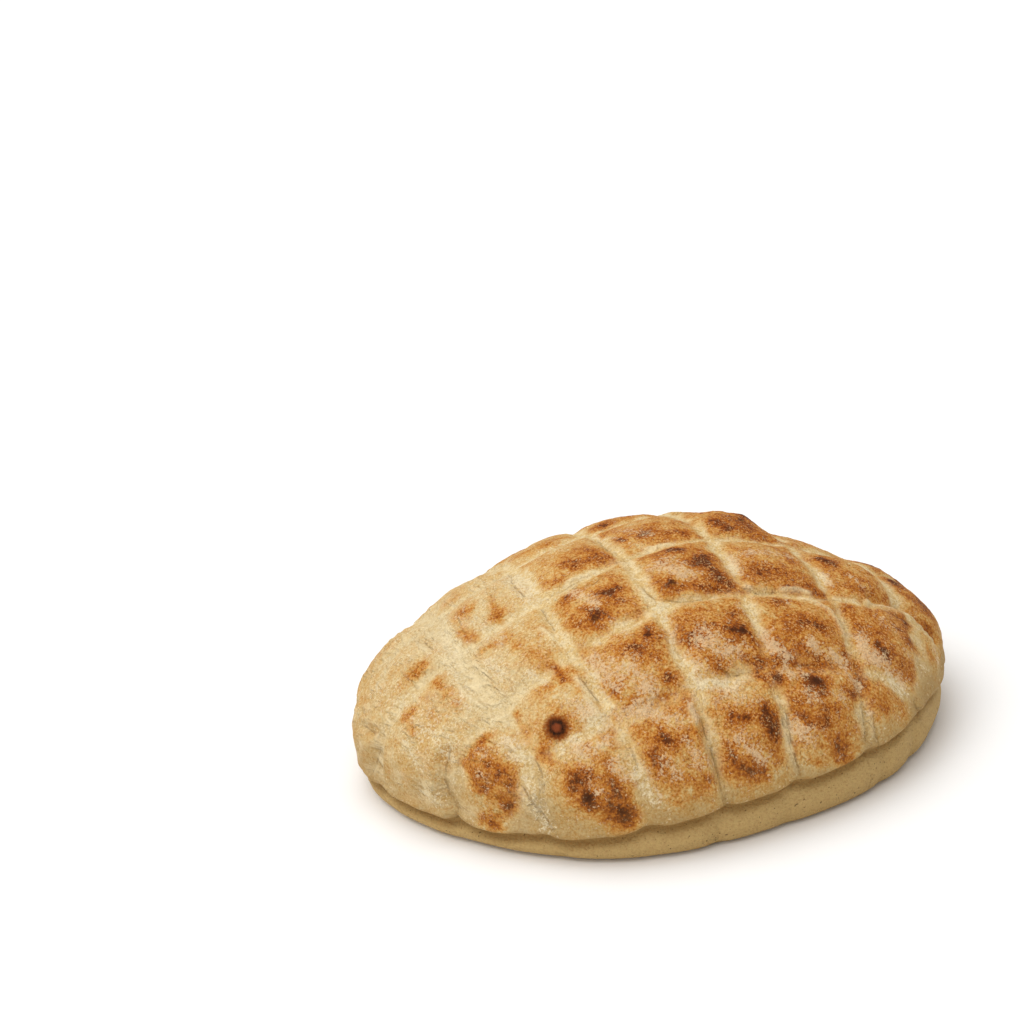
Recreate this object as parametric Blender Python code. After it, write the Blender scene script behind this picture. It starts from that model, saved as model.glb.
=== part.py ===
"""A puffed pita bread, scored in a grid before it was baked: one solid on a flat base.

Metres, +Z up, and the near side faces -Y. The origin is at the middle of the base.
The scores run in two families, lengthwise and crosswise, on a grid turned from the axes.
"""

import math

import bmesh
import bpy
import numpy as np
from mathutils import Matrix

# Main sizes
MEAN_RADIUS = 0.090
CROWN_HEIGHT = 0.0691
RIM_HEIGHT = 0.0203
BASE_SHARE = 0.966

# How the outline leaves a circle: waves around it, with their cosine and sine shares
OUTLINE_WAVES = (
    (2, 0.043, 0.018),
    (3, 0.004, -0.012),
    (4, 0.0145, 0.004),
    (5, -0.003, -0.003),
    (6, -0.002, 0.008),
)
OUTLINE_SPARE = 1.004

# How round the dome is, and how its height leans and sags towards the edge
DOME_ROUND = 1.683
DOME_FULL = 0.569
LEAN_X = 0.024
LEAN_Y = -0.171
SAG_X = -0.104
SAG_XY = 0.017
SAG_Y = -0.231

# Places where the crust blew up or sank: x, y, reach and rise
SWELLS = (
    (-0.025, 0.050, 0.019, 0.0029),
    (0.002, 0.052, 0.019, 0.0016),
    (0.026, 0.026, 0.018, 0.0041),
    (0.036, 0.022, 0.008, 0.0015),
    (0.000, 0.001, 0.019, -0.0021),
    (0.052, -0.010, 0.022, -0.0016),
    (0.078, 0.002, 0.019, 0.0022),
    (0.058, 0.036, 0.014, -0.0048),
    (0.070, 0.050, 0.022, -0.0028),
    (0.025, -0.050, 0.019, 0.0014),
    (0.050, -0.060, 0.024, -0.0014),
    (-0.050, -0.025, 0.019, -0.0012),
)

# Scores: each is its sideways place on the turned grid at stations along its length
GRID_TURN = math.radians(19.0)
STATION_FIRST = -0.090
STATION_STEP = 0.030
LENGTHWISE_SCORES = (
    (-0.071, -0.059, -0.064, -0.065, -0.065, -0.065, -0.058),
    (-0.031, -0.035, -0.038, -0.036, -0.036, -0.038, -0.038),
    (-0.010, -0.009, -0.008, -0.007, -0.007, -0.005, -0.009),
    (0.0125, 0.0175, 0.021, 0.0225, 0.020, 0.016, 0.007),
    (0.036, 0.0462, 0.0497, 0.049, 0.047, 0.044, 0.039),
    (0.042, 0.069, 0.076, 0.073, 0.070, 0.063, 0.064),
)
CROSSWISE_SCORES = (
    (0.056, 0.050, 0.048, 0.050, 0.050, 0.049, 0.049),
    (0.023, 0.018, 0.021, 0.023, 0.023, 0.022, 0.020),
    (-0.010, -0.012, -0.0145, -0.009, -0.009, -0.011, -0.010),
    (-0.041, -0.0415, -0.0425, -0.040, -0.0408, -0.0415, -0.043),
    (-0.055, -0.0605, -0.0668, -0.0668, -0.066, -0.068, -0.075),
)
SCORE_DEPTH = 0.0023
SCORE_HALF_WIDTH = 0.0040
PAD_CROWN = 0.0015
PAD_HALF_WIDTH = 0.0100
PAD_RISE = 0.0013

# The pale band under the crust's lip
LIP_HEIGHT = 0.0090
LIP_TILT = 0.0038
LIP_TILT_TOWARDS = math.radians(-35.0)
LIP_TUCK = 0.0018
LIP_SOFTNESS = 0.0040
SCORE_FADE = 0.009

# How the ball's angles from the top are shared out: dome, wall, base
RIM_ANGLE = math.radians(133.0)
BASE_ANGLE = math.radians(162.0)
CUBE_CUTS = 27

CRUST_COLOUR = (0.514, 0.309, 0.119, 1.0)
CRUST_ROUGHNESS = 0.75


def clear_scene():
    for old in list(bpy.data.objects):
        bpy.data.objects.remove(old, do_unlink=True)


def crust_material():
    material = bpy.data.materials.new("baked_crust")
    material.use_nodes = True
    shader = material.node_tree.nodes["Principled BSDF"]
    shader.inputs["Base Color"].default_value = CRUST_COLOUR
    shader.inputs["Roughness"].default_value = CRUST_ROUGHNESS
    shader.inputs["Metallic"].default_value = 0.0
    return material


def outline_radius(angle):
    share = 1.0
    for waves, cosine, sine in OUTLINE_WAVES:
        share = share + cosine * np.cos(waves * angle) + sine * np.sin(waves * angle)
    return MEAN_RADIUS * OUTLINE_SPARE * share


def swell(x, y):
    rise = np.zeros_like(x)
    for at_x, at_y, reach, height in SWELLS:
        away = ((x - at_x) ** 2 + (y - at_y) ** 2) / (2.0 * reach ** 2)
        rise += height * np.exp(-away)
    return rise


def dome_height(x, y, share):
    across = x / MEAN_RADIUS
    along = y / MEAN_RADIUS
    lean = 1.0 + LEAN_X * across + LEAN_Y * along
    lean += SAG_X * across ** 2 + SAG_XY * across * along + SAG_Y * along ** 2
    full = (CROWN_HEIGHT - RIM_HEIGHT) * lean + swell(x, y)
    return RIM_HEIGHT + full * (1.0 - share ** DOME_ROUND) ** DOME_FULL


def score_line(places, along):
    """A smooth curve through a score's stations, straight beyond its ends."""
    first = 2.0 * places[0] - places[1]
    last = 2.0 * places[-1] - places[-2]
    values = np.array((first, *places, last))
    station = np.clip((along - STATION_FIRST) / STATION_STEP, 0.0, len(places) - 1.000001)
    index = station.astype(int)
    part = station - index
    a, b, c, d = (values[index + k] for k in range(4))
    bend = (2.0 * a - 5.0 * b + 4.0 * c - d) * part ** 2
    twist = (3.0 * b - a - 3.0 * c + d) * part ** 3
    return 0.5 * (2.0 * b + (c - a) * part + bend + twist)


def score_relief(x, y):
    """How deep the crust lies at each place of the plan, with the pads' crowns above zero."""
    along_x = math.cos(GRID_TURN) * x + math.sin(GRID_TURN) * y
    along_y = math.cos(GRID_TURN) * y - math.sin(GRID_TURN) * x
    flat = np.ones_like(x)
    crowned = np.ones_like(x)
    families = ((LENGTHWISE_SCORES, along_y, along_x), (CROSSWISE_SCORES, along_x, along_y))
    for scores, along, sideways in families:
        for places in scores:
            away = sideways - score_line(places, along)
            flat *= 1.0 - np.exp(-(away / SCORE_HALF_WIDTH) ** 2)
            crowned *= 1.0 - np.exp(-(away / PAD_HALF_WIDTH) ** 2)
    return SCORE_DEPTH * (1.0 - flat) + PAD_CROWN * (1.0 - crowned) - PAD_RISE


def smooth_step(value):
    value = np.clip(value, 0.0, 1.0)
    return value * value * (3.0 - 2.0 * value)


def lip_height(angle):
    return LIP_HEIGHT + LIP_TILT * np.cos(angle - LIP_TILT_TOWARDS)


def ball_to_loaf(ball):
    """Carries the points of a unit ball to the loaf's dome, wall and base."""
    from_top = np.arccos(np.clip(ball[:, 2], -1.0, 1.0))
    angle = np.arctan2(ball[:, 1], ball[:, 0])
    rim = outline_radius(angle)

    over_dome = np.clip(from_top / RIM_ANGLE, 0.0, 1.0)
    down_wall = np.clip((from_top - RIM_ANGLE) / (BASE_ANGLE - RIM_ANGLE), 0.0, 1.0)
    over_base = np.clip((from_top - BASE_ANGLE) / (math.pi - BASE_ANGLE), 0.0, 1.0)

    share = np.sin(over_dome * math.pi / 2.0)
    wall_share = BASE_SHARE + (1.0 - BASE_SHARE) * np.cos(down_wall * math.pi / 2.0)
    reach = rim * share * wall_share * (1.0 - over_base)
    x = reach * np.cos(angle)
    y = reach * np.sin(angle)
    wall_height = RIM_HEIGHT * (1.0 - np.sin(down_wall * math.pi / 2.0))
    z = np.where(down_wall > 0.0, wall_height, dome_height(x, y, share))

    rise = CROWN_HEIGHT - RIM_HEIGHT
    facing = np.stack((x / rim ** 2, y / rim ** 2, np.maximum(z - RIM_HEIGHT, 0.0) / rise ** 2), axis=1)
    facing /= np.maximum(np.linalg.norm(facing, axis=1, keepdims=True), 1e-9)
    lip = lip_height(angle)
    scored = smooth_step((z - lip) / SCORE_FADE)
    tucked = smooth_step((lip - z) / LIP_SOFTNESS + 0.5) * (1.0 - over_base)
    depth = score_relief(x, y) * scored + LIP_TUCK * tucked
    loaf = np.stack((x, y, z), axis=1) - facing * depth[:, None]
    loaf[:, 2] = np.where(down_wall >= 1.0, 0.0, loaf[:, 2])
    return loaf


def pita_mesh():
    mesh = bpy.data.meshes.new("pita")
    work = bmesh.new()
    bmesh.ops.create_cube(work, size=2.0)
    bmesh.ops.subdivide_edges(work, edges=work.edges[:], cuts=CUBE_CUTS, use_grid_fill=True)
    cube = np.array([vertex.co[:] for vertex in work.verts])
    even = np.tan(cube * math.pi / 4.0)
    ball = even / np.linalg.norm(even, axis=1, keepdims=True)
    loaf = ball_to_loaf(ball @ np.array(Matrix.Rotation(-GRID_TURN, 3, "Z")))
    middle = (loaf.min(axis=0) + loaf.max(axis=0)) / 2.0
    loaf[:, :2] -= middle[:2]
    for vertex, place in zip(work.verts, loaf):
        vertex.co = place
    under = [face for face in work.faces if all(vertex.co.z < 1e-6 for vertex in face.verts)]
    bmesh.ops.dissolve_faces(work, faces=under, use_verts=True)
    crust = [face for face in work.faces if len(face.verts) == 4]
    bmesh.ops.triangulate(work, faces=crust, quad_method="BEAUTY")
    bmesh.ops.recalc_face_normals(work, faces=work.faces[:])
    work.to_mesh(mesh)
    work.free()
    mesh.shade_smooth()
    return mesh


def main():
    clear_scene()
    pita = bpy.data.objects.new("pita", pita_mesh())
    pita.data.materials.append(crust_material())
    bpy.context.scene.collection.objects.link(pita)


main()
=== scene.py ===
# %% [markdown]
# # A puffed pita bread, scored before it was baked
#
# The bread is one piece of dough. Its top was marked with a grid of shallow scores, and the oven blew it up
# into a leaning dome. What shows is one skin: cream in the scores, golden to brown on the pads between them,
# burnt where blisters stood up, and smooth and tan in the band under the crust's lip.
#
# The measured model gives its size and place. We load it first, and keep its box, so that the finished
# form can be held against it and trimmed to it.

# %% Load the measured model
import math

import bmesh
import bpy
import numpy as np
from mathutils import Matrix, Vector, noise
from mathutils.bvhtree import BVHTree


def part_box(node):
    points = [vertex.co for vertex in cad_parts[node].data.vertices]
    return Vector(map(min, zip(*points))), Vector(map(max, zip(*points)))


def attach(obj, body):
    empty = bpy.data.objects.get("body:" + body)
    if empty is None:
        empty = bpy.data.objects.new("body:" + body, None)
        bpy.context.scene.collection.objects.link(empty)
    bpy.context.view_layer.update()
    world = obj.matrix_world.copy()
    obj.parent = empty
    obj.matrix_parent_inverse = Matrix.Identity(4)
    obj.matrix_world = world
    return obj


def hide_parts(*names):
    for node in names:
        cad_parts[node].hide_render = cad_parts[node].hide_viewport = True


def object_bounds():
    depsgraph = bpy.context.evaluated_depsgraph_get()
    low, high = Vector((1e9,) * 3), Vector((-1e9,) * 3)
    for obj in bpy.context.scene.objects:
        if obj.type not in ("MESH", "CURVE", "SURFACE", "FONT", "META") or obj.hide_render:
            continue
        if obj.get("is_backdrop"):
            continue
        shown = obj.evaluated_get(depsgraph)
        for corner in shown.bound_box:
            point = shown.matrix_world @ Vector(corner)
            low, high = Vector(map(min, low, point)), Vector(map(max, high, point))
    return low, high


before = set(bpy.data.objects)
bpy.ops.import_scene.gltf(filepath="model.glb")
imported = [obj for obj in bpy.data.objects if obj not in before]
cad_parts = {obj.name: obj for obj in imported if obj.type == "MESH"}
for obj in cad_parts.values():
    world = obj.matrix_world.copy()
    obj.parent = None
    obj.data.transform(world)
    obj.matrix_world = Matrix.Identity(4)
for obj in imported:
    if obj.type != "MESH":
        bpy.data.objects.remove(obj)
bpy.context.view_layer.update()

pita_low, pita_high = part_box("pita")
print("the bread's box in mm:", [round(1000 * side, 1) for side in pita_high - pita_low])

# %% [markdown]
# ## The camera comes first
#
# The picture was taken from the front, looking down at about 22 degrees, with the camera a little askew. A
# long lens keeps the far rim nearly as large as the near one. We make the camera before the bread, because
# the burns and creases are later carried from the picture to the crust along its rays.

# %% Set up the camera
PICTURE_SIDE = 1024
SENSOR_WIDTH = 36.0
LENS = 82.81
CAMERA_PLACE = Vector((0.0, -0.6883, 0.3551))
CAMERA_TURN = math.radians(3.05)
CAMERA_DROP = math.radians(21.73)
CAMERA_ROLL = math.radians(-7.32)

camera_turned = Matrix.Rotation(CAMERA_TURN, 3, "Z")
camera_turned @= Matrix.Rotation(math.pi / 2.0 - CAMERA_DROP, 3, "X")
camera_turned @= Matrix.Rotation(CAMERA_ROLL, 3, "Z")

camera = bpy.data.objects.new("camera", bpy.data.cameras.new("camera"))
camera.data.sensor_width = SENSOR_WIDTH
camera.data.lens = LENS
camera.matrix_world = Matrix.Translation(CAMERA_PLACE) @ camera_turned.to_4x4()
bpy.context.scene.collection.objects.link(camera)
bpy.context.scene.camera = camera


def ray_through(pixel_x, pixel_y):
    """The direction in which the camera sees a place of the picture."""
    pixels_per_unit = LENS / SENSOR_WIDTH * PICTURE_SIDE
    across = (pixel_x - PICTURE_SIDE / 2.0) / pixels_per_unit
    down = (pixel_y - PICTURE_SIDE / 2.0) / pixels_per_unit
    return (camera_turned @ Vector((across, -down, -1.0))).normalized()


print("the camera looks along", [round(part, 3) for part in ray_through(512, 512)])

# %% [markdown]
# ## The outline and the dome
#
# From above the bread isn't a circle: it is a little wider than deep and has blunt corners. A few waves
# around a circle give that outline. Over it stands the dome, which is highest near the front, sags towards
# the back and sides, and swells or sinks where steam pushed or the crust fell in. We write these as
# functions of the place in plan, so that a mesh of any fineness can follow the same form.

# %% Give the outline and the dome as functions
MEAN_RADIUS = 0.090
CROWN_HEIGHT = 0.0691
RIM_HEIGHT = 0.0203
BASE_SHARE = 0.966
OUTLINE_WAVES = (
    (2, 0.043, 0.018),
    (3, 0.004, -0.012),
    (4, 0.0145, 0.004),
    (5, -0.003, -0.003),
    (6, -0.002, 0.008),
)
DOME_ROUND = 1.683
DOME_FULL = 0.569
LEAN_X = 0.024
LEAN_Y = -0.171
SAG_X = -0.104
SAG_XY = 0.017
SAG_Y = -0.231
SWELLS = (
    (-0.025, 0.050, 0.019, 0.0029),
    (0.002, 0.052, 0.019, 0.0016),
    (0.026, 0.026, 0.018, 0.0041),
    (0.036, 0.022, 0.008, 0.0015),
    (0.000, 0.001, 0.019, -0.0021),
    (0.052, -0.010, 0.022, -0.0016),
    (0.078, 0.002, 0.019, 0.0022),
    (0.058, 0.036, 0.014, -0.0048),
    (0.070, 0.050, 0.022, -0.0028),
    (0.025, -0.050, 0.019, 0.0014),
    (0.050, -0.060, 0.024, -0.0014),
    (-0.050, -0.025, 0.019, -0.0012),
)


def outline_radius(angle):
    share = 1.0
    for waves, cosine, sine in OUTLINE_WAVES:
        share = share + cosine * np.cos(waves * angle) + sine * np.sin(waves * angle)
    return MEAN_RADIUS * share


def bell(away, reach):
    """1 at no distance, falling off smoothly over the reach."""
    return np.exp(-(away / reach) ** 2)


def smooth_step(value):
    value = np.clip(value, 0.0, 1.0)
    return value * value * (3.0 - 2.0 * value)


def dome_height(x, y, share):
    across = x / MEAN_RADIUS
    along = y / MEAN_RADIUS
    lean = 1.0 + LEAN_X * across + LEAN_Y * along
    lean += SAG_X * across ** 2 + SAG_XY * across * along + SAG_Y * along ** 2
    full = (CROWN_HEIGHT - RIM_HEIGHT) * lean
    for at_x, at_y, reach, rise in SWELLS:
        full += rise * bell(np.hypot(x - at_x, y - at_y), math.sqrt(2.0) * reach)
    return RIM_HEIGHT + full * (1.0 - share ** DOME_ROUND) ** DOME_FULL


turn_around = np.linspace(0.0, 2.0 * math.pi, 361)
print("outline from", outline_radius(turn_around).min(), "to", outline_radius(turn_around).max())

# %% [markdown]
# ## A ball of even squares, carried to the loaf
#
# A puffed bread is a closed bag, so a ball is the right start. A ball of rings would crowd its points at the
# poles. A subdivided cube blown up to a ball has near-even squares everywhere, and no pole. Its sides are
# turned with the scores, so that the grooves run along the mesh and stay crisp. Then each point's angle from
# the top says whether it belongs to the dome, the wall or the flat base.

# %% Make the ball and carry it to the loaf
GRID_TURN = math.radians(19.0)
CUBE_CUTS = 127
RIM_ANGLE = math.radians(133.0)
BASE_ANGLE = math.radians(164.0)

work = bmesh.new()
bmesh.ops.create_cube(work, size=2.0)
bmesh.ops.subdivide_edges(work, edges=work.edges[:], cuts=CUBE_CUTS, use_grid_fill=True)
cube = np.array([vertex.co[:] for vertex in work.verts])
even = np.tan(cube * math.pi / 4.0)
ball = even / np.linalg.norm(even, axis=1, keepdims=True)
ball = ball @ np.array(Matrix.Rotation(-GRID_TURN, 3, "Z"))

from_top = np.arccos(np.clip(ball[:, 2], -1.0, 1.0))
angle = np.arctan2(ball[:, 1], ball[:, 0])
rim = outline_radius(angle)
over_dome = np.clip(from_top / RIM_ANGLE, 0.0, 1.0)
down_wall = np.clip((from_top - RIM_ANGLE) / (BASE_ANGLE - RIM_ANGLE), 0.0, 1.0)
over_base = np.clip((from_top - BASE_ANGLE) / (math.pi - BASE_ANGLE), 0.0, 1.0)

share = np.sin(over_dome * math.pi / 2.0)
wall_share = BASE_SHARE + (1.0 - BASE_SHARE) * np.cos(down_wall * math.pi / 2.0)
reach = rim * share * wall_share * (1.0 - over_base)
x = reach * np.cos(angle)
y = reach * np.sin(angle)
wall_height = RIM_HEIGHT * (1.0 - np.sin(down_wall * math.pi / 2.0))
z = np.where(down_wall > 0.0, wall_height, dome_height(x, y, share))
loaf = np.stack((x, y, z), axis=1)
print("points:", len(loaf), "and the plain loaf is", round(1000 * loaf[:, 2].max(), 1), "mm high")

# %% [markdown]
# Relief is pushed in along the direction in which the crust faces. A true normal would wobble with every
# bump, so we use the smooth direction of an egg through the same rim and crown.

# %% Find the direction in which the crust faces
crown_rise = CROWN_HEIGHT - RIM_HEIGHT
facing = np.stack((x / rim ** 2, y / rim ** 2, np.maximum(z - RIM_HEIGHT, 0.0) / crown_rise ** 2), axis=1)
facing /= np.maximum(np.linalg.norm(facing, axis=1, keepdims=True), 1e-9)


def lumps(size, seed, stretch=(1.0, 1.0, 1.0)):
    """Smooth unevenness over the loaf, from about -1 to 1, with lumps of that size in metres."""
    scale = 1.0 / (size * np.array(stretch))
    places = loaf * scale + seed * 7.3
    return np.array([noise.noise(Vector(place)) for place in places])


uneven_large = lumps(0.014, 1)
uneven_middle = lumps(0.006, 2)
uneven_small = lumps(0.0028, 3)
uneven_fine = lumps(0.0016, 4)
print("unevenness reaches", round(uneven_large.max(), 2), round(uneven_fine.max(), 2))

# %% [markdown]
# ## The scores
#
# Eleven scores cross the bread in two families. None is straight, because the dough stretched as it rose.
# Each is a smooth curve through a few stations, given by its sideways place on the turned grid. A score is a
# wide shallow trough with a thin crease somewhere in it, and the pads between scores stand up like cushions.

# %% Lay out the scores
STATION_FIRST = -0.090
STATION_STEP = 0.030
LENGTHWISE_SCORES = (
    (-0.071, -0.059, -0.064, -0.065, -0.065, -0.065, -0.058),
    (-0.031, -0.035, -0.038, -0.036, -0.036, -0.038, -0.038),
    (-0.010, -0.009, -0.008, -0.007, -0.007, -0.005, -0.009),
    (0.0125, 0.0175, 0.021, 0.0225, 0.020, 0.016, 0.007),
    (0.036, 0.0462, 0.0497, 0.049, 0.047, 0.044, 0.039),
    (0.042, 0.069, 0.076, 0.073, 0.070, 0.063, 0.064),
)
CROSSWISE_SCORES = (
    (0.056, 0.050, 0.048, 0.050, 0.050, 0.049, 0.049),
    (0.023, 0.018, 0.021, 0.023, 0.023, 0.022, 0.020),
    (-0.010, -0.012, -0.0145, -0.009, -0.009, -0.011, -0.010),
    (-0.041, -0.0415, -0.0425, -0.040, -0.0408, -0.0415, -0.043),
    (-0.055, -0.0605, -0.0668, -0.0668, -0.066, -0.068, -0.075),
)

along_x = math.cos(GRID_TURN) * x + math.sin(GRID_TURN) * y
along_y = math.cos(GRID_TURN) * y - math.sin(GRID_TURN) * x


def score_line(places, along):
    """A smooth curve through a score's stations, straight beyond its ends."""
    first = 2.0 * places[0] - places[1]
    last = 2.0 * places[-1] - places[-2]
    values = np.array((first, *places, last))
    station = np.clip((along - STATION_FIRST) / STATION_STEP, 0.0, len(places) - 1.000001)
    index = station.astype(int)
    part = station - index
    a, b, c, d = (values[index + k] for k in range(4))
    bend = (2.0 * a - 5.0 * b + 4.0 * c - d) * part ** 2
    twist = (3.0 * b - a - 3.0 * c + d) * part ** 3
    return 0.5 * (2.0 * b + (c - a) * part + bend + twist)


score_distances = []
for places in LENGTHWISE_SCORES:
    score_distances.append(along_x - score_line(places, along_y))
for places in CROSSWISE_SCORES:
    score_distances.append(along_y - score_line(places, along_x))
print("scores:", len(score_distances))

# %% Cut the scores and crown the pads
SCORE_DEPTH = 0.0014
SCORE_HALF_WIDTH = 0.0038
CREASE_DEPTH = 0.0005
CREASE_HALF_WIDTH = 0.0010
CREASE_SEEN_FROM = 0.0026
EDGE_RISE = 0.00025
EDGE_PLACE = 0.0030
EDGE_HALF_WIDTH = 0.0012
WANDER = 0.0009
PAD_CROWN = 0.0015
PAD_HALF_WIDTH = 0.0100
PAD_RISE = 0.0009

trough = np.zeros_like(x)
trough_free = np.ones_like(x)
crown_free = np.ones_like(x)
crease_away = np.full(len(x), 0.02)
crease_here = np.zeros_like(x)


def remember_crease(away, here):
    """Keeps each point's signed distance to its nearest crease, and how strong that crease is."""
    global crease_away, crease_here
    here = here * (1.0 - smooth_step(np.abs(away) / CREASE_SEEN_FROM))
    closer = (np.abs(away) < np.abs(crease_away)) & (here > 0.01)
    crease_away = np.where(closer, away, crease_away)
    crease_here = np.where(closer, here, crease_here)


for number, away in enumerate(score_distances):
    wandering = away + WANDER * lumps(0.010, 20 + number) + 0.3 * WANDER * uneven_small
    present = smooth_step(1.6 * lumps(0.016, 40 + number) - 0.05)
    trough_free *= 1.0 - bell(away, SCORE_HALF_WIDTH)
    crown_free *= 1.0 - bell(away, PAD_HALF_WIDTH)
    trough += CREASE_DEPTH * present * bell(wandering, CREASE_HALF_WIDTH)
    trough -= EDGE_RISE * (1.0 - present) * bell(np.abs(wandering) - EDGE_PLACE, EDGE_HALF_WIDTH)
    # The crease in each score is kept too, so that the material can draw it as a thin line of painted shade.
    remember_crease(wandering, 0.7 * present)
in_score = 1.0 - trough_free
score_relief = trough + SCORE_DEPTH * in_score + PAD_CROWN * (1.0 - crown_free) - PAD_RISE
print("the deepest score is", round(1000 * score_relief.max(), 2), "mm below the pads' mean")

# %% [markdown]
# ## The lip and the pale band
#
# The top crust ends in a soft lip a centimetre above the table. It droops lowest at the front left, stands
# higher on the right, and is notched where a score runs over it. Under it lies a thin shadowed groove, and
# then the underside bulges out again as a smooth band. We make the lip a height that varies around the
# loaf, and shape the wall by its distance below that height.

# %% Shape the lip and the band
LIP_HEIGHT = 0.0118
LIP_TILT = 0.0040
LIP_TILT_TOWARDS = math.radians(-20.0)
LIP_DROOP = 0.0034
LIP_DROOP_AT = math.radians(-117.0)
LIP_DROOP_REACH = math.radians(26.0)
LIP_NOTCH_RISE = 0.0018
LIP_NOTCH_REACH = 0.0036
LIP_UNEVEN = 0.0006
BULGE = 0.0006
BULGE_ABOVE_LIP = 0.0012
BULGE_REACH = 0.0016
GROOVE_DEPTH = 0.0021
GROOVE_BELOW_LIP = 0.0016
GROOVE_HALF_WIDTH = 0.0015
GROOVE_SHADE_BELOW_LIP = 0.0018
GROOVE_SHADE_REACH = 0.0024
BAND_TUCK = 0.0014
BAND_TUCK_SOFTNESS = 0.0022
BAND_BULGE = 0.0009
BAND_BULGE_AT = 0.60
BAND_BULGE_REACH = 0.24
BAND_UNEVEN = 0.0005
BAND_EDGE_SOFTNESS = 0.0016
FOOT_ROUND = 0.0014
FOOT_HEIGHT = 0.0022
SCORE_FADE = 0.016
SCORE_FADE_BELOW_LIP = 0.002

notch = 1.0 - np.prod([1.0 - bell(away, LIP_NOTCH_REACH) for away in score_distances], axis=0)
round_from_droop = np.angle(np.exp(1j * (angle - LIP_DROOP_AT)))
lip = LIP_HEIGHT + LIP_TILT * np.cos(angle - LIP_TILT_TOWARDS)
lip -= LIP_DROOP * bell(round_from_droop, LIP_DROOP_REACH)
lip += LIP_NOTCH_RISE * notch * smooth_step((share - 0.95) / 0.05)
lip += LIP_UNEVEN * lumps(0.012, 60, (1.0, 1.0, 8.0))

below = lip - z
on_wall = smooth_step((share - 0.9) / 0.1) * (1.0 - over_base)
band_depth = BAND_TUCK * smooth_step(below / BAND_TUCK_SOFTNESS + 0.2)
band_depth += GROOVE_DEPTH * bell(below - GROOVE_BELOW_LIP, GROOVE_HALF_WIDTH)
band_depth -= BULGE * bell(below + BULGE_ABOVE_LIP, BULGE_REACH)
band_depth -= BAND_BULGE * bell(below / np.maximum(lip, 0.001) - BAND_BULGE_AT, BAND_BULGE_REACH)
band_depth += FOOT_ROUND * smooth_step((FOOT_HEIGHT - z) / FOOT_HEIGHT) ** 2
band_depth += BAND_UNEVEN * lumps(0.016, 61, (1.0, 1.0, 4.0)) * smooth_step(below / 0.003)
in_band = smooth_step(below / BAND_EDGE_SOFTNESS + 0.3) * on_wall
# The groove under the lip is darkened with painted shade; this mask says where.
groove_painted_shade = bell(below - GROOVE_SHADE_BELOW_LIP, GROOVE_SHADE_REACH) * on_wall
scored = smooth_step((z - lip + SCORE_FADE_BELOW_LIP) / SCORE_FADE)
print("lip from", round(1000 * lip[share > 0.99].min(), 1), "to", round(1000 * lip.max(), 1), "mm")

# %% [markdown]
# ## Blisters, wrinkles and creases
#
# A blister is a small bubble of steam in the skin, and it burns first because it stands up. Wrinkles run
# round the pale pads at the left, where the skin slid as the bread cooled, and down the front rim. Each
# kind is a short list of places with its own rule.

# %% Raise the blisters and wrinkle the skin
BLISTERS = (
    (0.0365, 0.0215, 0.0042, 0.0009),
    (0.0290, 0.0140, 0.0040, 0.0004),
    (-0.0121, -0.0401, 0.0030, 0.0005),
    (0.0106, -0.0304, 0.0026, 0.0004),
    (0.0496, -0.0578, 0.0028, 0.0005),
    (0.0287, -0.0486, 0.0030, 0.0004),
    (0.0123, -0.0130, 0.0040, 0.0006),
)
WRINKLED_PADS = (
    (-0.068, 0.045, 0.004, 0.022, 0.0024, 0.00022),
    (-0.080, -0.018, 0.003, 0.020, 0.0024, 0.00022),
    (-0.073, -0.045, 0.003, 0.018, 0.0024, 0.00024),
    (-0.088, 0.010, 0.003, 0.018, 0.0024, 0.00018),
    (-0.050, -0.010, 0.004, 0.016, 0.0028, 0.00012),
)
SKIN_LARGE = 0.00055
SKIN_MIDDLE = 0.00030
SKIN_SMALL = 0.00020
SKIN_FINE = 0.00014
WRINKLE_WARP = 0.0016
STRETCH_WRINKLE = 0.00016
STRETCH_PITCH = 0.0026
STRETCH_WARP = 0.0018
FRONT_RIM_FROM = -0.035
FRONT_RIM_FADE = 0.025

skin = SKIN_LARGE * uneven_large + SKIN_MIDDLE * uneven_middle
skin += SKIN_SMALL * uneven_small + SKIN_FINE * uneven_fine
for at_x, at_y, blister_reach, rise in BLISTERS:
    skin -= rise * bell(np.hypot(x - at_x, y - at_y), blister_reach)
for at_x, at_y, inner, outer, pitch, depth in WRINKLED_PADS:
    away = np.hypot(x - at_x, y - at_y)
    inside = smooth_step((away - inner) / 0.003) * smooth_step((outer - away) / 0.006)
    waves = np.sin(2.0 * math.pi * (away + WRINKLE_WARP * uneven_middle) / pitch)
    skin += depth * inside * waves
near_front_rim = smooth_step((FRONT_RIM_FROM - y) / FRONT_RIM_FADE)
stretch_waves = np.sin(2.0 * math.pi * (along_x + STRETCH_WARP * uneven_middle) / STRETCH_PITCH)
skin += STRETCH_WRINKLE * near_front_rim * stretch_waves
print("the skin's unevenness reaches", round(1000 * np.abs(skin).max(), 2), "mm")

# %% [markdown]
# The finest marks are placed by the picture. Each is a place that the camera sees, and a ray from the camera
# through it meets the loaf where the mark lies. Marks on the far side are cast straight down instead. The
# rays meet the scored form, so we set that first.

# %% Set the scored form, and find places on it by rays
middle = (loaf.min(axis=0) + loaf.max(axis=0)) / 2.0


def shaped(relief):
    """The loaf with its relief pushed in, set over the middle of the frame's box, on its flat base."""
    places = loaf - facing * relief[:, None]
    places[:, :2] -= middle[:2]
    places[:, 2] = np.where(down_wall >= 1.0, 0.0, places[:, 2])
    return places


relief = score_relief * scored + band_depth * on_wall
scored_form = shaped(relief)
for vertex, place in zip(work.verts, scored_form):
    vertex.co = place
crust_tree = BVHTree.FromBMesh(work)


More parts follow.
